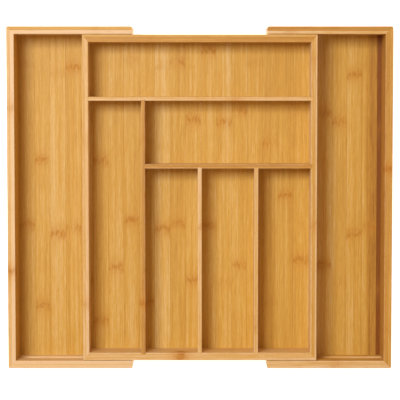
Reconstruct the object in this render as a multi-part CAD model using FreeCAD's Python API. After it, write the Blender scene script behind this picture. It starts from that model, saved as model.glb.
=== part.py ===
import FreeCAD, Part
import os

# Expandable bamboo cutlery tray: a partitioned tray carried between two wings that slide out sideways.
# Lengths are in millimetres. +X is right, +Y is towards the back, +Z is up.
# The origin is on the surface that the wings stand on, under the middle of the tray.
# The wings are modelled pulled out to their stops.

# Outer sizes
TRAY_WIDTH = 303.0
TRAY_DEPTH = 422.0
HEIGHT = 60.0

# Board thicknesses
TRAY_SIDE_WALL = 8.0
TRAY_END_WALL = 10.0
WING_WALL = 10.0
DIVIDER = 5.2
TRAY_BASE = 5.0
WING_BASE = 5.0

# Eased edges and rounded corners
EDGE_ROUND = 0.8
TRAY_CORNER_ROUND = 1.2
WING_CORNER_ROUND = 2.4
FREE_END_ROUND = 2.0

# Clear compartment sizes, counted from the back wall
BACK_ROW = 70.0
MIDDLE_ROW = 82.0
COLUMNS = 4

# Floor panels, held in grooves above a lip of the walls
TRAY_LIP = 4.0
WING_LIP = 4.0
BASE_GROOVE = 4.0
PANEL_GAP = 0.4

# Housings that the dividers stand in
WALL_HOUSING = 2.0
DIVIDER_HOUSING = 1.3

# Sliding fit of the wings
WING_TRAVEL = 86.5
CLOSED_GAP = 0.8
MEETING_GAP = 1.4
SLIDE_GAP = 0.4
LIFT_GAP = 0.3

# Guide grooves in the wing walls, and the tongues on the tray that run in them
GUIDE_DROP = 21.5
GUIDE_HEIGHT = 17.0
GUIDE_DEPTH = 4.5
TONGUE_GAP = 0.3
TONGUE_SEAT = 3.5
TONGUE_INSET = 6.0
GLUE_GAP = 0.1
STOP_LAND = 12.0
STOP_GAP = 0.2

# How far a cutting shape runs past the wood that it cuts
OVERRUN = 5.0

# Share of a corner's radius between the corner and the middle of its arc, along each side
ARC_MIDDLE_SHARE = 1.0 - 0.5**0.5

# Levels
WING_FLOOR = WING_LIP + WING_BASE
TRAY_BOTTOM = WING_FLOOR + LIFT_GAP
TRAY_FLOOR = TRAY_BOTTOM + TRAY_LIP + TRAY_BASE
GUIDE_MIDDLE = HEIGHT - GUIDE_DROP - GUIDE_HEIGHT / 2

# Distances of the tray's faces from its middle
TRAY_OUTER_X = TRAY_WIDTH / 2
TRAY_OUTER_Y = TRAY_DEPTH / 2
TRAY_INNER_X = TRAY_OUTER_X - TRAY_SIDE_WALL
TRAY_INNER_Y = TRAY_OUTER_Y - TRAY_END_WALL

# Distances of a pulled-out wing's faces from the middle of the tray
WING_INNER_X = TRAY_OUTER_X + CLOSED_GAP + WING_TRAVEL
WING_OUTER_X = WING_INNER_X + WING_WALL
WING_LENGTH = WING_WALL + CLOSED_GAP + TRAY_OUTER_X - MEETING_GAP / 2
WING_FREE_X = WING_OUTER_X - WING_LENGTH
WING_INNER_Y = TRAY_OUTER_Y + SLIDE_GAP
WING_OUTER_Y = WING_INNER_Y + WING_WALL
GUIDE_STOP_X = WING_FREE_X + STOP_LAND

# Dividers: back faces of the two rows' dividers, and left faces of the columns' dividers
BACK_DIVIDER_Y = TRAY_INNER_Y - BACK_ROW
MIDDLE_DIVIDER_Y = BACK_DIVIDER_Y - DIVIDER - MIDDLE_ROW
COLUMN = (2 * TRAY_INNER_X - (COLUMNS - 1) * DIVIDER) / COLUMNS
COLUMN_DIVIDERS_X = [column * (COLUMN + DIVIDER) - DIVIDER - TRAY_INNER_X for column in range(1, COLUMNS)]

# A wall is made along X with its inner face on Y = 0, then turned to face the middle of the tray
BACK, LEFT, FRONT, RIGHT = 0, 90, 180, 270


def block(x_low, x_high, y_low, y_high, z_low, z_high):
    """A square-edged block between two corners."""
    corner = FreeCAD.Vector(x_low, y_low, z_low)
    return Part.makeBox(x_high - x_low, y_high - y_low, z_high - z_low, corner)


def rounded_face(corners, radii):
    """A flat face with square corners, each rounded by its own radius."""
    arcs = []
    for number, corner in enumerate(corners):
        back = (corners[number - 1] - corner).normalize() * radii[number]
        ahead = (corners[(number + 1) % len(corners)] - corner).normalize() * radii[number]
        arcs.append((corner + back, corner + (back + ahead) * ARC_MIDDLE_SHARE, corner + ahead))
    edges = []
    for number, (start, middle, end) in enumerate(arcs):
        if radii[number] > 0:
            edges.append(Part.Arc(start, middle, end).toShape())
        edges.append(Part.LineSegment(end, arcs[(number + 1) % len(arcs)][0]).toShape())
    return Part.Face(Part.Wire(edges))


def board(x_low, x_high, y_low, y_high, z_low, foot_round):
    """A board along X up to the tray's top edge, with its top edges eased, and its foot if it stands free."""
    section = rounded_face(
        [
            FreeCAD.Vector(x_low, y_low, z_low),
            FreeCAD.Vector(x_low, y_high, z_low),
            FreeCAD.Vector(x_low, y_high, HEIGHT),
            FreeCAD.Vector(x_low, y_low, HEIGHT),
        ],
        [foot_round, foot_round, EDGE_ROUND, EDGE_ROUND],
    )
    return section.extrude(FreeCAD.Vector(x_high - x_low, 0, 0))


def mitred_wall(x_low, x_high, lean_low, lean_high, thickness, bottom, base_thickness, lip):
    """A wall whose ends lean out by a share of Y, to meet the next walls, and its groove for the floor panel."""
    far_low = x_low - lean_low * (thickness + OVERRUN)
    far_high = x_high + lean_high * (thickness + OVERRUN)
    wall = board(far_low - OVERRUN, far_high + OVERRUN, 0, thickness, bottom, EDGE_ROUND)
    plan = [
        FreeCAD.Vector(x_low + lean_low * OVERRUN, -OVERRUN, bottom - OVERRUN),
        FreeCAD.Vector(x_high - lean_high * OVERRUN, -OVERRUN, bottom - OVERRUN),
        FreeCAD.Vector(far_high, thickness + OVERRUN, bottom - OVERRUN),
        FreeCAD.Vector(far_low, thickness + OVERRUN, bottom - OVERRUN),
    ]
    mitres = Part.Face(Part.makePolygon(plan + plan[:1]))
    wall = wall.common(mitres.extrude(FreeCAD.Vector(0, 0, HEIGHT - bottom + 2 * OVERRUN)))
    floor = bottom + lip + base_thickness
    groove = block(far_low - OVERRUN, far_high + OVERRUN, -OVERRUN, BASE_GROOVE, bottom + lip, floor)
    return wall.cut(groove)


def faced(wall, side, distance):
    """A wall turned to its side of the tray, with its inner face that far from the middle."""
    wall.translate(FreeCAD.Vector(0, distance, 0))
    wall.rotate(FreeCAD.Vector(), FreeCAD.Vector(0, 0, 1), side)
    return wall


def plan_prism(x_low, x_high, y_high, radii):
    """An upright block over a rounded outline that is centred on Y, past the walls above and below."""
    outline = rounded_face(
        [
            FreeCAD.Vector(x_low, -y_high, -OVERRUN),
            FreeCAD.Vector(x_high, -y_high, -OVERRUN),
            FreeCAD.Vector(x_high, y_high, -OVERRUN),
            FreeCAD.Vector(x_low, y_high, -OVERRUN),
        ],
        radii,
    )
    return outline.extrude(FreeCAD.Vector(0, 0, HEIGHT + 2 * OVERRUN))


def round_ended_strip(x_low, x_high, y_low, y_high, height):
    """A strip along X at the guides' level, with half-round ends as a router leaves them."""
    radius = height / 2
    low = FreeCAD.Vector(x_low, y_low, GUIDE_MIDDLE)
    high = FreeCAD.Vector(x_high, y_low, GUIDE_MIDDLE)
    inward = FreeCAD.Vector(radius, 0, 0)
    up = FreeCAD.Vector(0, 0, radius)
    edges = [
        Part.LineSegment(low + inward - up, high - inward - up).toShape(),
        Part.Arc(high - inward - up, high, high - inward + up).toShape(),
        Part.LineSegment(high - inward + up, low + inward + up).toShape(),
        Part.Arc(low + inward + up, low, low + inward - up).toShape(),
    ]
    return Part.Face(Part.Wire(edges)).extrude(FreeCAD.Vector(0, y_high - y_low, 0))


def wall_housing(x_low):
    """The cut in a wall's inner face for the end of a divider that stands against it."""
    return block(x_low, x_low + DIVIDER, -OVERRUN, WALL_HOUSING, TRAY_FLOOR, HEIGHT + OVERRUN)


def tongue(x_low, y_reach, gap):
    """A guide tongue on the back wall, or with a gap round it the mortise that it is glued into."""
    x_high = x_low + TRAY_OUTER_X - TONGUE_INSET - GUIDE_STOP_X - STOP_GAP
    height = GUIDE_HEIGHT - 2 * TONGUE_GAP + 2 * gap
    return round_ended_strip(x_low - gap, x_high + gap, TRAY_OUTER_Y - TONGUE_SEAT, y_reach, height)


def tongue_pair(y_reach, gap):
    """The right and the left tongue of the back wall, or their mortises."""
    right_low = GUIDE_STOP_X + STOP_GAP
    left_low = TONGUE_INSET - TRAY_OUTER_X
    return tongue(right_low, y_reach, gap), tongue(left_low, y_reach, gap)


def guide_tongues():
    """The four tongues: those of the front wall are the back ones turned half round."""
    y_reach = WING_INNER_Y + GUIDE_DEPTH - TONGUE_GAP
    back_right, back_left = tongue_pair(y_reach, 0)
    front_left, front_right = tongue_pair(y_reach, 0)
    for strip in (front_left, front_right):
        strip.rotate(FreeCAD.Vector(), FreeCAD.Vector(0, 0, 1), FRONT)
    return {
        "back_left_guide_tongue": back_left,
        "back_right_guide_tongue": back_right,
        "front_left_guide_tongue": front_left,
        "front_right_guide_tongue": front_right,
    }


def tray_walls():
    """Four mitred walls, housed out for the dividers, with the tongues' mortises in the two end walls."""
    end_lean = TRAY_SIDE_WALL / TRAY_END_WALL
    side_lean = TRAY_END_WALL / TRAY_SIDE_WALL
    plan = plan_prism(-TRAY_OUTER_X, TRAY_OUTER_X, TRAY_OUTER_Y, [TRAY_CORNER_ROUND] * 4)

    def end_wall(side):
        wall = mitred_wall(
            -TRAY_INNER_X, TRAY_INNER_X, end_lean, end_lean, TRAY_END_WALL, TRAY_BOTTOM, TRAY_BASE, TRAY_LIP
        )
        wall.translate(FreeCAD.Vector(0, TRAY_INNER_Y, 0))
        for mortise in tongue_pair(TRAY_OUTER_Y + OVERRUN, GLUE_GAP):
            wall = wall.cut(mortise)
        wall.translate(FreeCAD.Vector(0, -TRAY_INNER_Y, 0))
        if side == FRONT:
            for x_low in COLUMN_DIVIDERS_X:
                wall = wall.cut(wall_housing(-x_low - DIVIDER))
        return faced(wall, side, TRAY_INNER_Y).common(plan)

    def side_wall(side, divider_backs):
        wall = mitred_wall(
            -TRAY_INNER_Y, TRAY_INNER_Y, side_lean, side_lean, TRAY_SIDE_WALL, TRAY_BOTTOM, TRAY_BASE, TRAY_LIP
        )
        for y_back in divider_backs:
            x_low = y_back - DIVIDER if side == LEFT else -y_back
            wall = wall.cut(wall_housing(x_low))
        return faced(wall, side, TRAY_INNER_X).common(plan)

    return {
        "tray_back_wall": end_wall(BACK),
        "tray_front_wall": end_wall(FRONT),
        "tray_left_wall": side_wall(LEFT, [BACK_DIVIDER_Y]),
        "tray_right_wall": side_wall(RIGHT, [BACK_DIVIDER_Y, MIDDLE_DIVIDER_Y]),
    }


def row_divider(x_low, y_back, column_lefts):
    """A divider across the tray to the right wall, housed out in front for the column dividers that meet it."""
    y_front = y_back - DIVIDER
    divider = board(x_low, TRAY_INNER_X + WALL_HOUSING, y_front, y_back, TRAY_FLOOR, 0)
    for left in column_lefts:
        housing = block(
            left, left + DIVIDER, y_front - OVERRUN, y_front + DIVIDER_HOUSING, TRAY_FLOOR, HEIGHT + OVERRUN
        )
        divider = divider.cut(housing)
    return divider


def column_divider(x_low, row_back):
    """A divider from the front wall to the row divider in front of which it ends."""
    y_low = -TRAY_INNER_Y - WALL_HOUSING
    y_high = row_back - DIVIDER + DIVIDER_HOUSING
    divider = board(y_low, y_high, -x_low - DIVIDER, -x_low, TRAY_FLOOR, 0)
    divider.rotate(FreeCAD.Vector(), FreeCAD.Vector(0, 0, 1), LEFT)
    return divider


def dividers():
    """Two row dividers and three column dividers, each housed in what it meets, all standing on the floor."""
    long_left, inner_left, inner_right = COLUMN_DIVIDERS_X
    housing_x = long_left + DIVIDER - DIVIDER_HOUSING
    middle_housing = block(
        housing_x,
        housing_x + DIVIDER,
        MIDDLE_DIVIDER_Y - DIVIDER,
        MIDDLE_DIVIDER_Y,
        TRAY_FLOOR,
        HEIGHT + OVERRUN,
    )
    return {
        "back_row_divider": row_divider(-TRAY_INNER_X - WALL_HOUSING, BACK_DIVIDER_Y, [long_left]),
        "left_column_divider": column_divider(long_left, BACK_DIVIDER_Y).cut(middle_housing),
        "middle_row_divider": row_divider(housing_x, MIDDLE_DIVIDER_Y, [inner_left, inner_right]),
        "inner_column_divider_left": column_divider(inner_left, MIDDLE_DIVIDER_Y),
        "inner_column_divider_right": column_divider(inner_right, MIDDLE_DIVIDER_Y),
    }


def tray_base():
    """The tray's floor panel, in the grooves of its four walls."""
    x_reach = TRAY_INNER_X + BASE_GROOVE - PANEL_GAP
    y_reach = TRAY_INNER_Y + BASE_GROOVE - PANEL_GAP
    return block(-x_reach, x_reach, -y_reach, y_reach, TRAY_FLOOR - TRAY_BASE, TRAY_FLOOR)


def wing_side_wall(side):
    """The left wing's back or front wall: mitred to the outer wall, free at the other end, with its guide groove."""
    x_free, x_mitre, x_stop, x_outer = WING_FREE_X, WING_INNER_X, GUIDE_STOP_X, WING_OUTER_X
    if side == BACK:
        wall = mitred_wall(-x_mitre, -x_free, 1, 0, WING_WALL, 0, WING_BASE, WING_LIP)
        groove = round_ended_strip(-x_outer - GUIDE_HEIGHT, -x_stop, -OVERRUN, GUIDE_DEPTH, GUIDE_HEIGHT)
    else:
        wall = mitred_wall(x_free, x_mitre, 0, 1, WING_WALL, 0, WING_BASE, WING_LIP)
        groove = round_ended_strip(x_stop, x_outer + GUIDE_HEIGHT, -OVERRUN, GUIDE_DEPTH, GUIDE_HEIGHT)
    return faced(wall.cut(groove), side, WING_INNER_Y)


def wing(turn):
    """The left wing's four pieces, turned half round for the right wing."""
    outer_wall = faced(
        mitred_wall(-WING_INNER_Y, WING_INNER_Y, 1, 1, WING_WALL, 0, WING_BASE, WING_LIP), LEFT, WING_INNER_X
    )
    x_reach = WING_INNER_X + BASE_GROOVE - PANEL_GAP
    y_reach = WING_INNER_Y + BASE_GROOVE - PANEL_GAP
    base = block(-x_reach, -WING_FREE_X, -y_reach, y_reach, WING_LIP, WING_FLOOR)
    plan = plan_prism(
        -WING_OUTER_X,
        -WING_FREE_X,
        WING_OUTER_Y,
        [WING_CORNER_ROUND, FREE_END_ROUND, FREE_END_ROUND, WING_CORNER_ROUND],
    )
    pieces = [outer_wall.common(plan), wing_side_wall(BACK).common(plan), wing_side_wall(FRONT).common(plan), base]
    for piece in pieces:
        piece.rotate(FreeCAD.Vector(), FreeCAD.Vector(0, 0, 1), turn)
    return pieces


def wings():
    """Both wings. Turning the left wing half round brings its front wall to the right wing's back."""
    left_outer, left_back, left_front, left_base = wing(0)
    right_outer, right_front, right_back, right_base = wing(FRONT)
    return {
        "left_wing_outer_wall": left_outer,
        "left_wing_back_wall": left_back,
        "left_wing_front_wall": left_front,
        "left_wing_base": left_base,
        "right_wing_outer_wall": right_outer,
        "right_wing_back_wall": right_back,
        "right_wing_front_wall": right_front,
        "right_wing_base": right_base,
    }


def build():
    """Writes one STEP file for each piece."""
    os.makedirs("parts", exist_ok=True)
    pieces = {**tray_walls(), "tray_base": tray_base(), **dividers(), **guide_tongues(), **wings()}
    for name, shape in pieces.items():
        shape.exportStep(os.path.join("parts", name + ".step"))


build()
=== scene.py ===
import math

import bpy
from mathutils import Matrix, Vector


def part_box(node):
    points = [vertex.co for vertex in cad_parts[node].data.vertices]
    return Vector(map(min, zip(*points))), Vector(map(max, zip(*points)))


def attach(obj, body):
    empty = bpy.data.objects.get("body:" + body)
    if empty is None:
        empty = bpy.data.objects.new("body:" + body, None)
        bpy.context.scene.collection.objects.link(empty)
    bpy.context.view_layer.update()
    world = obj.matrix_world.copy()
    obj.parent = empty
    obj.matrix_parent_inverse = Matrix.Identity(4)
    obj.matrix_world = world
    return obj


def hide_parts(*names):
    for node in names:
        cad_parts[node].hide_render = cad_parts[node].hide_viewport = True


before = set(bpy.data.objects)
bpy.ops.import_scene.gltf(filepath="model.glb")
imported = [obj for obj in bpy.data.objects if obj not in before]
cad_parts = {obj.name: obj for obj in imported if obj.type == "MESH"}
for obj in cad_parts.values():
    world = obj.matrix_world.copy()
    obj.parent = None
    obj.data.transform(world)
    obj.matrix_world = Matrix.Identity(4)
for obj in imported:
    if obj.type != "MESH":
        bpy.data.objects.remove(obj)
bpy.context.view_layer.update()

# An expandable bamboo cutlery tray, seen from nearly straight above with both wings pulled out.
# Lengths are in metres. +X is right, +Y is towards the back row and +Z is up.

# View: the point that the camera looks at, where it stands, and how much width it sees at that point
VIEW_MIDDLE = Vector((0.0003, -0.0021, 0.06))
VIEW_PLACE = Vector((0.0003, 0.145, 2.31))
VIEW_SPAN = 0.5166
SENSOR_WIDTH = 36.0

# Studio: a soft key light, an even sky and a white floor
DOWN = Vector((0.0, 0.0, -1.0))
KEY_PLACE = Vector((-0.70, 0.60, 2.0))
KEY_AIM = Vector((0.90, -0.84, 0.0))
KEY_WIDTH = 0.78
KEY_DEPTH = 0.66
KEY_POWER = 30.6
KEY_COLOUR = (0.96, 1.0, 1.0)
SKY_COLOUR = (1.0, 0.70, 0.46, 1.0)
SKY_LIGHT = 0.455
FLOOR_REACH = 6.0
FLOOR_WHITE = (0.92, 0.92, 0.92, 1.0)
FLOOR_ROUGHNESS = 0.9
FLOOR_GLOW = 1.1

# Tones of a strip or a ply, as places on the bamboo's colour scale
# The two darkest tones are painted shadow and its soft edge, used only on the right wing's last strips and on
# the inner face of its outer wall
PAINTED_SHADOW = -2.0
PAINTED_PENUMBRA = -0.5
CHESTNUT = -0.15
UMBER = 0.05
RUSSET = 0.2
AMBER = 0.35
HONEY = 0.5
STRAW = 0.65
BLOND = 0.8
CREAM = 0.95
IVORY = 1.25

# The bamboo's colour scale: four tones and their colours, which blend between them
SCALE_LOW = -0.6
SCALE_DARK = 0.0
SCALE_MIDDLE = 0.5
SCALE_HIGH = 1.0
# The lowest colour is the darkest grain and also the painted shadow beside the right wing's outer wall
BAMBOO_SMOKED_AND_SHADOW = (0.27, 0.082, 0.003, 1.0)
BAMBOO_DARK = (0.585, 0.290, 0.043, 1.0)
BAMBOO_MIDDLE = (0.762, 0.442, 0.082, 1.0)
BAMBOO_PALE = (0.930, 0.670, 0.320, 1.0)

# Stains on the bamboo, and the share that each takes where its mask is 1
KNUCKLE_BROWN = (0.56, 0.215, 0.012, 1.0)
KNUCKLE_ORANGE = (0.70, 0.340, 0.045, 1.0)
GLUE_BROWN = (0.36, 0.16, 0.04, 1.0)
WORN_PALE = (0.92, 0.66, 0.40, 1.0)
PORE_SHARE = 0.22
PATCH_SHARE = 0.42
MARK_SHARE = 0.55
GLUE_SHARE = 0.12
WORN_SHARE = 0.4

# What a colour is multiplied by: in warm streaks, on the boards, and in the light that bamboo throws back
ORANGE_CAST = (1.0, 0.96, 0.80)
BOARD_CAST = (0.985, 0.96, 1.22)
BOUNCE_CAST = (0.87, 1.0, 1.0)

# Patterns of the grain: the waves to a metre along, across and up, and the number of finer layers.
# After them, how strong each finer layer is, and how far a seed of 1 moves the patterns
STREAKS = ((5.0, 300.0, 300.0), 2.0)
FIBRES = ((45.0, 650.0, 650.0), 3.0)
THREADS = ((150.0, 1500.0, 1500.0), 1.0)
DRIFT = ((4.0, 45.0, 45.0), 1.0)
PORES = ((60.0, 1400.0, 1400.0), 0.0)
WARMTH = ((3.0, 130.0, 130.0), 2.0)
RIPPLES = ((0.0, 230.0, 230.0), 1.0)
CURLS = ((190.0, 480.0, 480.0), 2.0)
PATCHES = ((5.0, 60.0, 60.0), 0.0)
RUBBING = ((55.0, 200.0, 200.0), 2.0)
LAYER_STRENGTH = 0.6
SEED_SHIFT = (3.1, 0.73, 1.37)

# Where a pattern's mask starts to show and where it shows in full
PORE_RAMP = (0.60, 0.78)
WARMTH_RAMP = (0.35, 0.65)
CURL_RAMP = (0.40, 0.60)
PATCH_RAMP = (0.10, 0.45)
RUBBING_RAMP = (0.25, 0.65)

# How far each pattern swings the tone in all
STREAK_SWING = 0.85
FIBRE_SWING = 0.75
THREAD_SWING = 0.35
DRIFT_SWING = 0.35

# The surface: how rough it is and what fibres, knuckles and wear add, how high the grain is, and its shine
ROUGHNESS = 0.50
FIBRE_ROUGHNESS = 0.22
KNUCKLE_ROUGHNESS = 0.10
WORN_ROUGHNESS = 0.12
THREAD_HEIGHT = 0.5
PORE_DEPTH = 0.6
GRAIN_STRENGTH = 0.35
GRAIN_HEIGHT = 0.0001
LACQUER_SHINE = 0.4

# Knuckles of the stem: how far apart they are, how they bow, and how far each part of one fades out
KNUCKLE_SPACING = 0.212
KNUCKLE_BOW = 0.010
RIPPLE_SIZE = 0.022
STROKE_REACH = 0.0072
LINE_REACH = 0.0030
LINE_SHARE = 0.45
PATCH_REACH = 0.014

# How clear a strip's other knuckles are beside its main one, and how clear the marks are on floors, on boards
# and at a board's chosen knuckle
CLEAR = 1.0
FAINT = 0.3
BOARD_REPEATS = 0.6
FLOOR_MARKS = 1.0
BOARD_MARKS = 0.5
CLEAR_MARKS = 1.7

# Floor strips: their eased edges, the gaps between them, and how their tones differ and change across
STRIP_EASE = 0.0001
STRIP_GAP = 0.00004
WHOLE_STRIP = 1.0
STRIP_CONTRAST = 0.6
CHANGE_RAMP = (-0.3, 0.15)

# Boards: the rows of strips up their height, how those vary in tone, and how far in their edges are worn
WALL_STRIP = 0.0206
WALL_STRIP_START = -0.0003
TOP_ROW = 2
SAME_ROW = 0.5
BOARD_VARIATION = 0.12
FIRST_BOARD_SEED = 0.5
WORN_REACH = 0.0009

# Glue lines: their width between strips, how much darker they are between plies, and their share of a board.
# A ply that is a smaller share of its board than THIN_PLY has none
GLUE_WIDTH = 0.00028
PLY_GLUE_DROP = 0.2
PLY_GLUE_SHARE = 0.04
THIN_PLY = 0.06

# A main knuckle beyond the end of its strip, so that only faint ones show
OUT_OF_SIGHT = 0.300

# The floor panels' strips from left to right: the tones of the left and right edge, how far back the main
# knuckle lies, how far apart the knuckles are, and how clear the other knuckles are
TRAY_STRIPS = (
    (HONEY, HONEY, -0.110, KNUCKLE_SPACING, FAINT),
    (HONEY, HONEY, -0.164, KNUCKLE_SPACING, CLEAR),
    (HONEY, HONEY, -0.093, KNUCKLE_SPACING, FAINT),
    (HONEY, HONEY, -0.031, KNUCKLE_SPACING, FAINT),
    (HONEY, AMBER, -0.139, KNUCKLE_SPACING, FAINT),
    (BLOND, BLOND, -0.042, KNUCKLE_SPACING, FAINT),
    (AMBER, AMBER, -0.035, KNUCKLE_SPACING, CLEAR),
    (HONEY, HONEY, -0.110, KNUCKLE_SPACING, CLEAR),
    (AMBER, HONEY, -0.037, 0.229, CLEAR),
    (HONEY, STRAW, 0.099, KNUCKLE_SPACING, FAINT),
    (HONEY, AMBER, -0.090, 0.204, CLEAR),
    (HONEY, AMBER, -0.037, KNUCKLE_SPACING, FAINT),
    (AMBER, RUSSET, 0.071, KNUCKLE_SPACING, FAINT),
    (AMBER, RUSSET, 0.002, KNUCKLE_SPACING, FAINT),
    (AMBER, HONEY, -0.083, 0.197, FAINT),
    (HONEY, HONEY, 0.020, KNUCKLE_SPACING, FAINT),
)
LEFT_WING_STRIPS = (
    (HONEY, HONEY, 0.110, KNUCKLE_SPACING, FAINT),
    # This strip is darker at its left edge as painted shade beside the left wing's outer wall
    (RUSSET, HONEY, -0.037, KNUCKLE_SPACING, FAINT),
    (HONEY, HONEY, 0.049, 0.194, CLEAR),
    (STRAW, STRAW, -0.049, KNUCKLE_SPACING, FAINT),
    (AMBER, HONEY, -0.042, KNUCKLE_SPACING, CLEAR),
    (HONEY, AMBER, 0.094, KNUCKLE_SPACING, FAINT),
    (STRAW, HONEY, -0.078, KNUCKLE_SPACING, FAINT),
    (AMBER, HONEY, 0.015, KNUCKLE_SPACING, FAINT),
    (HONEY, HONEY, -0.063, KNUCKLE_SPACING, FAINT),
)
RIGHT_WING_STRIPS = (
    (HONEY, HONEY, 0.025, KNUCKLE_SPACING, FAINT),
    (STRAW, HONEY, -0.082, KNUCKLE_SPACING, FAINT),
    (HONEY, AMBER, 0.059, KNUCKLE_SPACING, FAINT),
    (STRAW, HONEY, -0.016, KNUCKLE_SPACING, FAINT),
    (CREAM, STRAW, 0.109, 0.200, CLEAR),
    (HONEY, AMBER, 0.099, KNUCKLE_SPACING, FAINT),
    (STRAW, AMBER, -0.049, 0.210, CLEAR),
    # The right wing's last two strips darken towards its outer wall as a painted shadow, the last one all
    # over
    (AMBER, PAINTED_PENUMBRA, -0.040, KNUCKLE_SPACING, FAINT),
    (PAINTED_SHADOW, PAINTED_SHADOW, OUT_OF_SIGHT, KNUCKLE_SPACING, FAINT),
)

# Each floor panel's body and strips, and the shares that are left of the first and the last strip
FLOOR_PANELS = {
    "tray_base": ("tray", TRAY_STRIPS, (0.331, 0.195)),
    "left_wing_base": ("left_wing", LEFT_WING_STRIPS, (0.215, 0.365)),
    "right_wing_base": ("right_wing", RIGHT_WING_STRIPS, (0.378, 0.455)),
}

# The boards' plies, from left to right or from front to back: the tone, and the share of the thickness
BOARD_PLIES = {
    "tray_back_wall": ((RUSSET, 0.43), (CHESTNUT, 0.25), (HONEY, 0.32)),
    # Its thin back ply is paler as painted light on the inner face that the key light reaches
    "tray_front_wall": ((BLOND, 0.4), (STRAW, 0.56), (BLOND, 0.04)),
    "tray_left_wall": ((STRAW, 0.5), (BLOND, 0.5)),
    # Its thin left ply is paler as painted light on the face towards the key light
    "tray_right_wall": ((IVORY, 0.04), (HONEY, 0.26), (AMBER, 0.4), (STRAW, 0.3)),
    "back_row_divider": ((BLOND, 0.6), (STRAW, 0.4)),
    # Its thin back ply is paler as painted light on the face towards the key light
    "middle_row_divider": ((HONEY, 0.25), (UMBER, 0.25), (CHESTNUT, 0.46), (BLOND, 0.04)),
    "left_column_divider": ((UMBER, 0.4), (CHESTNUT, 0.6)),
    "inner_column_divider_left": ((BLOND, 0.4), (BLOND, 0.6)),
    # Its thin left ply is paler as painted light on the face towards the key light
    "inner_column_divider_right": ((IVORY, 0.05), (STRAW, 0.45), (STRAW, 0.5)),
    "back_left_guide_tongue": ((HONEY, 1.0),),
    "back_right_guide_tongue": ((HONEY, 1.0),),
    "front_left_guide_tongue": ((HONEY, 1.0),),
    "front_right_guide_tongue": ((HONEY, 1.0),),
    # Its thin right ply is darker as painted shade on its inner face, which the key light leaves in shadow
    "left_wing_outer_wall": ((BLOND, 0.45), (IVORY, 0.51), (AMBER, 0.04)),
    "left_wing_back_wall": ((CREAM, 0.55), (AMBER, 0.45)),
    "left_wing_front_wall": ((IVORY, 0.48), (STRAW, 0.04), (IVORY, 0.44), (CREAM, 0.04)),
    # The darkest ply is painted shadow on the inner face of this wall
    "right_wing_outer_wall": ((PAINTED_SHADOW, 0.12), (RUSSET, 0.43), (AMBER, 0.45)),
    "right_wing_back_wall": ((STRAW, 0.45), (CHESTNUT, 0.55)),
    "right_wing_front_wall": ((BLOND, 0.5), (BLOND, 0.46), (HONEY, 0.04)),
}

# How far to the right or to the front of the tray's middle a clear knuckle lies on a board's top strip
BOARD_KNUCKLES = {
    "tray_front_wall": -0.023,
    "left_column_divider": 0.138,
    "left_wing_outer_wall": 0.097,
    "right_wing_outer_wall": -0.036,
}

# Socket types of the node groups
COLOUR = "NodeSocketColor"
VALUE = "NodeSocketFloat"
VECTOR = "NodeSocketVector"
WHOLE_NUMBER = "NodeSocketInt"
GEOMETRY = "NodeSocketGeometry"
MATERIAL = "NodeSocketMaterial"

# Places of a colour mix among the Mix node's sockets
MIX_SHARE = 0
MIX_FIRST = 6
MIX_SECOND = 7
MIX_RESULT = 2

QUARTER_TURN = math.pi / 2


def add(tree, kind, sockets=None, **settings):
    """Adds a node with these settings, and sets or links its sockets."""
    node = tree.nodes.new(kind)
    for name, value in settings.items():
        setattr(node, name, value)
    for name, value in (sockets or {}).items():
        if isinstance(value, bpy.types.NodeSocket):
            tree.links.new(value, node.inputs[name])
        else:
            node.inputs[name].default_value = value
    return node


def calc(tree, operation, *values):
    """The result of one sum on sockets or numbers."""
    return add(tree, "ShaderNodeMath", dict(enumerate(values)), operation=operation).outputs[0]


def split(tree, vector):
    """The three parts of a vector: along, across and up."""
    return add(tree, "ShaderNodeSeparateXYZ", {0: vector}).outputs


def joined(tree, along, across, up):
    """A vector made of three parts."""
    return add(tree, "ShaderNodeCombineXYZ", {0: along, 1: across, 2: up}).outputs[0]


def vector_calc(tree, operation, first, second):
    """The result of one sum on two vectors."""
    return add(tree, "ShaderNodeVectorMath", {0: first, 1: second}, operation=operation).outputs[0]


def noise(tree, place, pattern):
    """Noise from 0 to 1, about 0.5, with that pattern's waves and finer layers."""
    per_metre, layers = pattern
    stretched = vector_calc(tree, "MULTIPLY", place, per_metre)
    sockets = {"Vector": stretched, "Scale": 1.0, "Detail": layers, "Roughness": LAYER_STRENGTH}
    return add(tree, "ShaderNodeTexNoise", sockets).outputs["Fac"]


def about_zero(tree, value, size):
    """A value from 0 to 1 made to swing about zero, that far in all."""
    return calc(tree, "MULTIPLY", calc(tree, "SUBTRACT", value, 0.5), size)


def bell(tree, distance, width):
    """A mask that is 1 at no distance and fades over that width."""
    scaled = calc(tree, "DIVIDE", distance, width)
    squared = calc(tree, "MULTIPLY", scaled, scaled)
    return calc(tree, "EXPONENT", calc(tree, "MULTIPLY", squared, -1.0))


def ramp_up(tree, value, start, end):
    """A mask that climbs smoothly from 0 at the start to 1 at the end."""
    sockets = {"Value": value, "From Min": start, "From Max": end}
    return add(tree, "ShaderNodeMapRange", sockets, interpolation_type="SMOOTHSTEP").outputs[0]


def mix_colour(tree, share, first, second):
    """The first colour with that share of the second."""
    sockets = {MIX_SHARE: share, MIX_FIRST: first, MIX_SECOND: second}
    return add(tree, "ShaderNodeMix", sockets, data_type="RGBA").outputs[MIX_RESULT]


def new_group(name, kind, inputs, outputs):
    """A node group with those named sockets, with the sockets to read and to feed."""
    group = bpy.data.node_groups.new(name, kind)
    for label, socket in inputs.items():
        group.interface.new_socket(label, in_out="INPUT", socket_type=socket)
    for label, socket in outputs.items():
        group.interface.new_socket(label, in_out="OUTPUT", socket_type=socket)
    given = group.nodes.new("NodeGroupInput").outputs
    result = group.nodes.new("NodeGroupOutput").inputs
    return group, given, result


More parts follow.
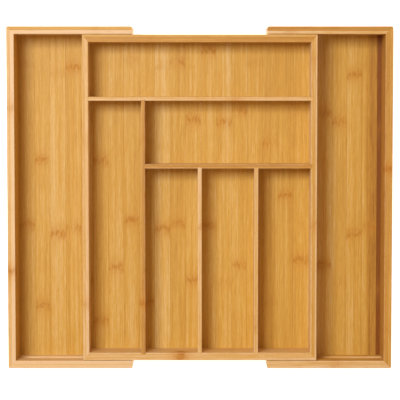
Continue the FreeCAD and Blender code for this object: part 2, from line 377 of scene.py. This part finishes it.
def knuckle_masks(group, place, along, share, knuckle, spacing, repeats):
    """A stem's knuckles: short brown curls of fibre along a wavy line, and an orange patch round them."""
    half = calc(group, "DIVIDE", spacing, 2.0)
    distance = calc(group, "SUBTRACT", along, knuckle)
    main = calc(group, "LESS_THAN", calc(group, "ABSOLUTE", distance), half)
    strength = calc(group, "MAXIMUM", main, repeats)
    offset = calc(group, "WRAP", distance, half, calc(group, "MULTIPLY", half, -1.0))
    bow = calc(group, "MULTIPLY", calc(group, "MULTIPLY", share, share), KNUCKLE_BOW)
    bowed = calc(group, "ADD", offset, bow)
    curls = ramp_up(group, noise(group, place, CURLS), *CURL_RAMP)
    strokes = calc(group, "MULTIPLY", bell(group, bowed, STROKE_REACH), curls)
    ripple = about_zero(group, noise(group, place, RIPPLES), RIPPLE_SIZE)
    rippled = calc(group, "ADD", bowed, ripple)
    line = calc(group, "MULTIPLY", bell(group, rippled, LINE_REACH), LINE_SHARE)
    uneven = ramp_up(group, noise(group, place, PATCHES), *PATCH_RAMP)
    uneven = calc(group, "MULTIPLY", uneven, strength)
    mark = calc(group, "MULTIPLY", calc(group, "ADD", strokes, line), uneven)
    patch = calc(group, "MULTIPLY", bell(group, bowed, PATCH_REACH), uneven)
    return mark, patch


def seeded_place(group, vector, seed):
    """A place moved by its strip's seed, so that no two strips have the same grain."""
    shift = vector_calc(group, "MULTIPLY", joined(group, seed, seed, seed), SEED_SHIFT)
    return vector_calc(group, "ADD", vector, shift)


def grained_tone(group, tone, streaks, fibres, threads, drift):
    """A strip's tone with the swings of its grain."""
    swings = (
        (streaks, STREAK_SWING),
        (fibres, FIBRE_SWING),
        (threads, THREAD_SWING),
        (drift, DRIFT_SWING),
    )
    for pattern, swing in swings:
        tone = calc(group, "ADD", tone, about_zero(group, pattern, swing))
    return tone


def bamboo_scale(group, tone):
    """The bamboo's colour at that tone."""
    span = {"Value": tone, "From Min": SCALE_LOW, "From Max": SCALE_HIGH}
    share = add(group, "ShaderNodeMapRange", span).outputs[0]
    scale = add(group, "ShaderNodeValToRGB", {"Fac": share})
    stops = scale.color_ramp.elements
    stops[0].color = BAMBOO_SMOKED_AND_SHADOW
    stops[1].color = BAMBOO_PALE
    for stop, colour in ((SCALE_DARK, BAMBOO_DARK), (SCALE_MIDDLE, BAMBOO_MIDDLE)):
        share_of_scale = (stop - SCALE_LOW) / (SCALE_HIGH - SCALE_LOW)
        stops.new(share_of_scale).color = colour
    return scale.outputs["Color"]


def stained(group, colour, pores, patch, mark, glue):
    """The bamboo's colour with its pores, knuckles and glue."""
    stains = (
        (pores, PORE_SHARE, KNUCKLE_BROWN),
        (patch, PATCH_SHARE, KNUCKLE_ORANGE),
        (mark, MARK_SHARE, KNUCKLE_BROWN),
        (glue, GLUE_SHARE, GLUE_BROWN),
    )
    for mask, share, stain in stains:
        colour = mix_colour(group, calc(group, "MULTIPLY", mask, share), colour, stain)
    return colour


def bamboo_strip_group():
    """One strip of bamboo: fibres along it, pores, knuckles and the glue line at its edge."""
    group, given, result = new_group(
        "bamboo_strip",
        "ShaderNodeTree",
        {
            "Vector": VECTOR,
            "Share": VALUE,
            "Knuckle": VALUE,
            "Spacing": VALUE,
            "Repeats": VALUE,
            "Marks": VALUE,
            "Tone": VALUE,
            "Glue": VALUE,
            "Seed": VALUE,
        },
        {"Color": COLOUR, "Roughness": VALUE, "Height": VALUE},
    )
    place = seeded_place(group, given["Vector"], given["Seed"])
    streaks = noise(group, place, STREAKS)
    fibres = noise(group, place, FIBRES)
    threads = noise(group, place, THREADS)
    drift = noise(group, place, DRIFT)
    pores = ramp_up(group, noise(group, place, PORES), *PORE_RAMP)
    warmth = ramp_up(group, noise(group, place, WARMTH), *WARMTH_RAMP)
    along = split(group, given["Vector"])["X"]
    knuckle = (given["Share"], given["Knuckle"], given["Spacing"], given["Repeats"])
    mark, patch = knuckle_masks(group, place, along, *knuckle)
    mark = calc(group, "MULTIPLY", mark, given["Marks"])
    patch = calc(group, "MULTIPLY", patch, given["Marks"])

    tone = grained_tone(group, given["Tone"], streaks, fibres, threads, drift)
    golden = bamboo_scale(group, tone)
    orange = vector_calc(group, "MULTIPLY", golden, ORANGE_CAST)
    colour = mix_colour(group, warmth, golden, orange)
    colour = stained(group, colour, pores, patch, mark, given["Glue"])
    group.links.new(colour, result["Color"])

    rough = calc(group, "ADD", about_zero(group, fibres, FIBRE_ROUGHNESS), ROUGHNESS)
    rough = calc(group, "ADD", rough, calc(group, "MULTIPLY", mark, KNUCKLE_ROUGHNESS))
    group.links.new(rough, result["Roughness"])

    height = calc(group, "ADD", fibres, calc(group, "MULTIPLY", threads, THREAD_HEIGHT))
    height = calc(group, "SUBTRACT", height, calc(group, "MULTIPLY", pores, PORE_DEPTH))
    height = calc(group, "SUBTRACT", height, given["Glue"])
    group.links.new(height, result["Height"])
    return group


def laminated_board_group():
    """A board glued up from plies through its thickness and strips up its height."""
    group, given, result = new_group(
        "laminated_board",
        "ShaderNodeTree",
        {"Vector": VECTOR, "Thickness": VALUE, "Seed": VALUE},
        {
            "Across": VALUE,
            "Row": VALUE,
            "Share": VALUE,
            "Knuckle": VALUE,
            "Variation": VALUE,
            "Glue": VALUE,
            "Seed": VALUE,
        },
    )
    place = split(group, given["Vector"])
    across = calc(group, "ADD", calc(group, "DIVIDE", place["Y"], given["Thickness"]), 0.5)
    rows = calc(group, "DIVIDE", calc(group, "SUBTRACT", place["Z"], WALL_STRIP_START), WALL_STRIP)
    row = calc(group, "FLOOR", rows)
    chance = add(group, "ShaderNodeTexWhiteNoise", {"Vector": joined(group, row, 0.0, given["Seed"])})
    chances = add(group, "ShaderNodeSeparateColor", {0: chance.outputs["Color"]}).outputs
    to_seam = calc(group, "MULTIPLY", calc(group, "PINGPONG", rows, 0.5), WALL_STRIP)

    group.links.new(across, result["Across"])
    group.links.new(row, result["Row"])
    group.links.new(calc(group, "SUBTRACT", calc(group, "FRACT", rows), 0.5), result["Share"])
    group.links.new(calc(group, "MULTIPLY", chances["Green"], KNUCKLE_SPACING), result["Knuckle"])
    group.links.new(calc(group, "SUBTRACT", chances["Red"], 0.5), result["Variation"])
    group.links.new(bell(group, to_seam, GLUE_WIDTH), result["Glue"])
    group.links.new(chances["Blue"], result["Seed"])
    return group


def worn_edge_group():
    """The long top edges of a board, where sanding and handling leave the bamboo paler."""
    group, given, result = new_group(
        "worn_edge",
        "ShaderNodeTree",
        {"Vector": VECTOR, "Thickness": VALUE, "Top": VALUE},
        {"Wear": VALUE},
    )
    place = split(group, given["Vector"])
    half = calc(group, "DIVIDE", given["Thickness"], 2.0)
    to_side = calc(group, "SUBTRACT", half, calc(group, "ABSOLUTE", place["Y"]))
    to_top = calc(group, "SUBTRACT", given["Top"], place["Z"])
    near = calc(group, "MULTIPLY", bell(group, to_side, WORN_REACH), bell(group, to_top, WORN_REACH))
    uneven = ramp_up(group, noise(group, given["Vector"], RUBBING), *RUBBING_RAMP)
    group.links.new(calc(group, "MULTIPLY", near, uneven), result["Wear"])
    return group


STRIP = bamboo_strip_group()
BOARD = laminated_board_group()
WORN = worn_edge_group()


def new_material(name):
    """A node material with its Principled shader."""
    material = bpy.data.materials.new(name)
    material.use_nodes = True
    return material, material.node_tree, material.node_tree.nodes["Principled BSDF"]


def finish_bamboo(tree, shader, colour, roughness, height):
    """Joins a bamboo's colour, roughness and grain to its shader, under a thin satin lacquer.

    The light that it throws onto other boards is a little less red than its colour.
    """
    thrown = vector_calc(tree, "MULTIPLY", colour, BOUNCE_CAST)
    in_a_bounce = add(tree, "ShaderNodeLightPath").outputs["Is Diffuse Ray"]
    shown = mix_colour(tree, in_a_bounce, colour, thrown)
    grain = {"Strength": GRAIN_STRENGTH, "Distance": GRAIN_HEIGHT, "Height": height}
    bump = add(tree, "ShaderNodeBump", grain)
    tree.links.new(shown, shader.inputs["Base Color"])
    tree.links.new(roughness, shader.inputs["Roughness"])
    tree.links.new(bump.outputs["Normal"], shader.inputs["Normal"])
    shader.inputs["Specular IOR Level"].default_value = LACQUER_SHINE


def strip_attribute(tree, name):
    """A value that the panel's mesh carries for each strip."""
    return add(tree, "ShaderNodeAttribute", attribute_name=name).outputs["Fac"]


def floor_panel_material(name, strip_width):
    """Glued strips whose grain runs from front to back."""
    material, tree, shader = new_material(name)
    place = add(tree, "ShaderNodeTexCoord").outputs["Object"]
    turn = (0.0, 0.0, -QUARTER_TURN)
    turned = add(tree, "ShaderNodeMapping", {"Vector": place, "Rotation": turn}).outputs[0]
    share = strip_attribute(tree, "strip_share")
    to_edge = calc(tree, "SUBTRACT", 0.5, calc(tree, "ABSOLUTE", share))
    own_width = calc(tree, "MULTIPLY", strip_attribute(tree, "strip_scale"), strip_width)
    glue = bell(tree, calc(tree, "MULTIPLY", to_edge, own_width), GLUE_WIDTH)
    changed = ramp_up(tree, share, *CHANGE_RAMP)
    change = calc(tree, "MULTIPLY", changed, strip_attribute(tree, "strip_change"))
    tone = calc(tree, "ADD", strip_attribute(tree, "strip_tone"), change)
    sockets = {
        "Vector": turned,
        "Share": share,
        "Knuckle": strip_attribute(tree, "strip_knuckle"),
        "Spacing": strip_attribute(tree, "strip_spacing"),
        "Repeats": strip_attribute(tree, "strip_repeats"),
        "Marks": FLOOR_MARKS,
        "Tone": tone,
        "Glue": glue,
        "Seed": strip_attribute(tree, "strip_seed"),
    }
    strip = add(tree, "ShaderNodeGroup", sockets, node_tree=STRIP).outputs
    finish_bamboo(tree, shader, strip["Color"], strip["Roughness"], strip["Height"])
    return material


def ply_tones(tree, across, plies):
    """The tone of each ply across the board, with a thin dark glue line between two plies."""
    node = add(tree, "ShaderNodeValToRGB", {"Fac": across})
    node.color_ramp.interpolation = "CONSTANT"
    steps = node.color_ramp.elements
    steps.remove(steps[1])
    start = 0.0
    for number, (tone, share) in enumerate(plies):
        step = steps[0] if number == 0 else steps.new(start)
        step.color = (tone, tone, tone, 1.0)
        start += share
        beside = plies[number + 1] if number < len(plies) - 1 else (tone, 0.0)
        if min(share, beside[1]) > THIN_PLY:
            seam = min(tone, beside[0]) - PLY_GLUE_DROP
            steps.new(start - PLY_GLUE_SHARE).color = (seam, seam, seam, 1.0)
    return node.outputs["Color"]


def board_knuckles(tree, node, board):
    """Where the knuckles of a board's strips lie, how clear they are, and how clear the repeats are."""
    if node not in BOARD_KNUCKLES:
        return board["Knuckle"], BOARD_MARKS, BOARD_REPEATS
    top = calc(tree, "COMPARE", board["Row"], TOP_ROW, SAME_ROW)
    away = calc(tree, "SUBTRACT", BOARD_KNUCKLES[node], board["Knuckle"])
    place = calc(tree, "ADD", board["Knuckle"], calc(tree, "MULTIPLY", top, away))
    marks = calc(tree, "ADD", calc(tree, "MULTIPLY", top, CLEAR_MARKS - BOARD_MARKS), BOARD_MARKS)
    return place, marks, FAINT


def board_place(tree, low, high):
    """Places on a board, with X along it and Y through its thickness, and that thickness."""
    size = high - low
    middle = (low + high) / 2
    runs_across = size.x > size.y
    sockets = {
        "Vector": add(tree, "ShaderNodeTexCoord").outputs["Object"],
        "Location": (0.0, -(middle.y if runs_across else middle.x), 0.0),
        "Rotation": (0.0, 0.0, 0.0 if runs_across else QUARTER_TURN),
    }
    return add(tree, "ShaderNodeMapping", sockets).outputs[0], min(size.x, size.y)


def board_material(node, plies, seed):
    """A laminated board of that node's size, with its grain along its length."""
    material, tree, shader = new_material(node + "_bamboo")
    low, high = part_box(node)
    place, thickness = board_place(tree, low, high)
    sockets = {"Vector": place, "Thickness": thickness, "Seed": seed}
    board = add(tree, "ShaderNodeGroup", sockets, node_tree=BOARD).outputs
    ply_tone = ply_tones(tree, board["Across"], plies)
    variation = calc(tree, "MULTIPLY", board["Variation"], BOARD_VARIATION)
    knuckle, marks, repeats = board_knuckles(tree, node, board)
    sockets = {
        "Vector": place,
        "Share": board["Share"],
        "Knuckle": knuckle,
        "Spacing": KNUCKLE_SPACING,
        "Repeats": repeats,
        "Marks": marks,
        "Tone": calc(tree, "ADD", ply_tone, variation),
        "Glue": board["Glue"],
        "Seed": calc(tree, "ADD", board["Seed"], ply_tone),
    }
    strip = add(tree, "ShaderNodeGroup", sockets, node_tree=STRIP).outputs
    sockets = {"Vector": place, "Thickness": thickness, "Top": high.z}
    wear = add(tree, "ShaderNodeGroup", sockets, node_tree=WORN).outputs["Wear"]
    colour = vector_calc(tree, "MULTIPLY", strip["Color"], BOARD_CAST)
    colour = mix_colour(tree, calc(tree, "MULTIPLY", wear, WORN_SHARE), colour, WORN_PALE)
    roughness = calc(tree, "ADD", strip["Roughness"], calc(tree, "MULTIPLY", wear, WORN_ROUGHNESS))
    finish_bamboo(tree, shader, colour, roughness, strip["Height"])
    return material


def strip_bar(tree, given):
    """One bar of bamboo with eased edges, which keeps how far across it each point lies."""
    section_size = {"Width": given["Strip Width"], "Height": given["Thickness"]}
    section = add(tree, "GeometryNodeCurvePrimitiveQuadrilateral", section_size)
    ease = {"Curve": section.outputs[0], "Radius": given["Edge Ease"]}
    eased = add(tree, "GeometryNodeFilletCurve", ease)
    half = calc(tree, "DIVIDE", given["Strip Length"], 2.0)
    front = joined(tree, 0.0, calc(tree, "MULTIPLY", half, -1.0), 0.0)
    back = joined(tree, 0.0, half, 0.0)
    line = add(tree, "GeometryNodeCurvePrimitiveLine", {"Start": front, "End": back})
    swept = {"Curve": line.outputs[0], "Profile Curve": eased.outputs[0], "Fill Caps": True}
    bar = add(tree, "GeometryNodeCurveToMesh", swept)
    across = split(tree, add(tree, "GeometryNodeInputPosition").outputs[0])["X"]
    share = calc(tree, "DIVIDE", across, given["Strip Width"])
    marked = {"Geometry": bar.outputs[0], "Name": "strip_share", "Value": share}
    bar = add(tree, "GeometryNodeStoreNamedAttribute", marked)
    flat = {"Geometry": bar.outputs[0], "Shade Smooth": False}
    return add(tree, "GeometryNodeSetShadeSmooth", flat).outputs[0]


def strip_panel_tree():
    """Lays one eased bar of bamboo on every point and glues the bars into a panel."""
    tree, given, result = new_group(
        "glued_strips",
        "GeometryNodeTree",
        {
            "Strips": GEOMETRY,
            "Strip Width": VALUE,
            "Strip Length": VALUE,
            "Thickness": VALUE,
            "Edge Ease": VALUE,
            "Seed": WHOLE_NUMBER,
            "Finish": MATERIAL,
        },
        {"Panel": GEOMETRY},
    )
    bar = strip_bar(tree, given)
    draw = add(tree, "FunctionNodeRandomValue", {"Seed": given["Seed"]}, data_type="FLOAT")
    seeded = {"Geometry": given["Strips"], "Name": "strip_seed", "Value": draw.outputs[1]}
    points = add(tree, "GeometryNodeStoreNamedAttribute", seeded)
    scale = add(tree, "GeometryNodeInputNamedAttribute", {"Name": "strip_scale"}, data_type="FLOAT")
    cut = joined(tree, scale.outputs["Attribute"], 1.0, 1.0)
    placed = {"Points": points.outputs[0], "Instance": bar, "Scale": cut}
    laid = add(tree, "GeometryNodeInstanceOnPoints", placed)
    real = add(tree, "GeometryNodeRealizeInstances", {"Geometry": laid.outputs[0]})
    painted = {"Geometry": real.outputs[0], "Material": given["Finish"]}
    panel = add(tree, "GeometryNodeSetMaterial", painted)
    tree.links.new(panel.outputs[0], result["Panel"])
    return tree


def put_in_scene(name, data):
    """A new object with that data, in the scene."""
    thing = bpy.data.objects.new(name, data)
    bpy.context.scene.collection.objects.link(thing)
    return thing


def strip_scales(strips, cuts):
    """How wide each strip is beside a whole one: only the first and the last are cut."""
    first, last = cuts
    return [first] + [WHOLE_STRIP] * (len(strips) - 2) + [last]


def strip_points(name, low, high, width, strips, scales):
    """A point at the middle of each strip, with its width, its tones and the places of its knuckles."""
    middle = (low + high) / 2
    edge = low.x
    places = []
    for scale in scales:
        places.append((edge + width * scale / 2, middle.y, middle.z))
        edge += width * scale
    mesh = bpy.data.meshes.new(name)
    mesh.from_pydata(places, [], [])
    lefts, rights, knuckles, spacings, repeats = zip(*strips)
    values = {
        "strip_scale": scales,
        "strip_tone": [HONEY + STRIP_CONTRAST * (left - HONEY) for left in lefts],
        "strip_change": [STRIP_CONTRAST * (right - left) for left, right in zip(lefts, rights)],
        "strip_knuckle": knuckles,
        "strip_spacing": spacings,
        "strip_repeats": repeats,
    }
    for attribute, numbers in values.items():
        mesh.attributes.new(attribute, "FLOAT", "POINT").data.foreach_set("value", numbers)
    return mesh


def glued_mesh(name, points, tree, values):
    """The plain mesh that the tree makes of those points with those inputs. Its maker is removed."""
    maker = put_in_scene(name + "_maker", points)
    modifier = maker.modifiers.new("glued_strips", "NODES")
    modifier.node_group = tree
    for item in tree.interface.items_tree:
        if item.in_out == "INPUT" and item.name in values:
            modifier[item.identifier] = values[item.name]
    graph = bpy.context.evaluated_depsgraph_get()
    mesh = bpy.data.meshes.new_from_object(maker.evaluated_get(graph))
    mesh.name = name
    bpy.data.objects.remove(maker)
    return mesh


def floor_panel(node, body, strips, cuts, tree, seed):
    """A floor panel of glued strips, in the place of its plain solid."""
    low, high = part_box(node)
    scales = strip_scales(strips, cuts)
    width = (high.x - low.x) / sum(scales)
    name = node + "_strips"
    points = strip_points(name + "_points", low, high, width, strips, scales)
    values = {
        "Strip Width": width - STRIP_GAP,
        "Strip Length": high.y - low.y,
        "Thickness": high.z - low.z,
        "Edge Ease": STRIP_EASE,
        "Seed": seed,
        "Finish": floor_panel_material(node + "_bamboo", width),
    }
    panel = put_in_scene(name, glued_mesh(name, points, tree, values))
    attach(panel, body)
    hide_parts(node)


def floor_panels():
    """The three floor panels, each from its own list of strips."""
    tree = strip_panel_tree()
    for seed, (node, (body, strips, cuts)) in enumerate(FLOOR_PANELS.items()):
        floor_panel(node, body, strips, cuts, tree, seed)


def finish_boards():
    """A material of its own for each wall, divider and guide."""
    for number, (node, plies) in enumerate(BOARD_PLIES.items()):
        material = board_material(node, plies, number + FIRST_BOARD_SEED)
        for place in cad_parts[node].material_slots:
            place.material = material


def studio_floor():
    """A plain white floor that glows a little, as a lit table does."""
    material, _, shader = new_material("studio_white")
    shader.inputs["Base Color"].default_value = FLOOR_WHITE
    shader.inputs["Roughness"].default_value = FLOOR_ROUGHNESS
    shader.inputs["Emission Color"].default_value = FLOOR_WHITE
    shader.inputs["Emission Strength"].default_value = FLOOR_GLOW
    reach = FLOOR_REACH
    corners = [(-reach, -reach, 0.0), (reach, -reach, 0.0), (reach, reach, 0.0), (-reach, reach, 0.0)]
    mesh = bpy.data.meshes.new("studio_floor")
    mesh.from_pydata(corners, [], [(0, 1, 2, 3)])
    mesh.materials.append(material)
    floor = put_in_scene("studio_floor", mesh)


def studio_light():
    """One soft light from the back left."""
    light = bpy.data.lights.new("key_light", "AREA")
    light.shape = "RECTANGLE"
    light.size = KEY_WIDTH
    light.size_y = KEY_DEPTH
    light.energy = KEY_POWER
    light.color = KEY_COLOUR
    key = put_in_scene("key_light", light)
    key.location = KEY_PLACE
    key.rotation_euler = DOWN.rotation_difference(KEY_AIM - KEY_PLACE).to_euler()


def studio_sky():
    """An even warm sky that lights the shadows, and looks white itself."""
    sky = bpy.data.worlds.new("studio_sky")
    sky.use_nodes = True
    tree = sky.node_tree
    warm = tree.nodes["Background"]
    warm.inputs["Color"].default_value = SKY_COLOUR
    warm.inputs["Strength"].default_value = SKY_LIGHT
    white = add(tree, "ShaderNodeBackground", {"Color": FLOOR_WHITE})
    seen = add(tree, "ShaderNodeLightPath").outputs["Is Camera Ray"]
    both = add(tree, "ShaderNodeMixShader", {0: seen, 1: warm.outputs[0], 2: white.outputs[0]})
    tree.links.new(both.outputs[0], tree.nodes["World Output"].inputs["Surface"])
    bpy.context.scene.world = sky


def camera():
    """Over the tray, looking nearly straight down, with the back row at the top of the picture."""
    lens = bpy.data.cameras.new("camera")
    sight = VIEW_MIDDLE - VIEW_PLACE
    lens.sensor_width = SENSOR_WIDTH
    lens.lens = SENSOR_WIDTH * sight.length / VIEW_SPAN
    stand = put_in_scene("camera", lens)
    stand.location = VIEW_PLACE
    stand.rotation_euler = (math.atan2(sight.y, -sight.z), 0.0, 0.0)
    bpy.context.scene.camera = stand


bpy.context.scene.view_settings.view_transform = "Standard"
camera()
studio_light()
studio_sky()
studio_floor()
floor_panels()
finish_boards()
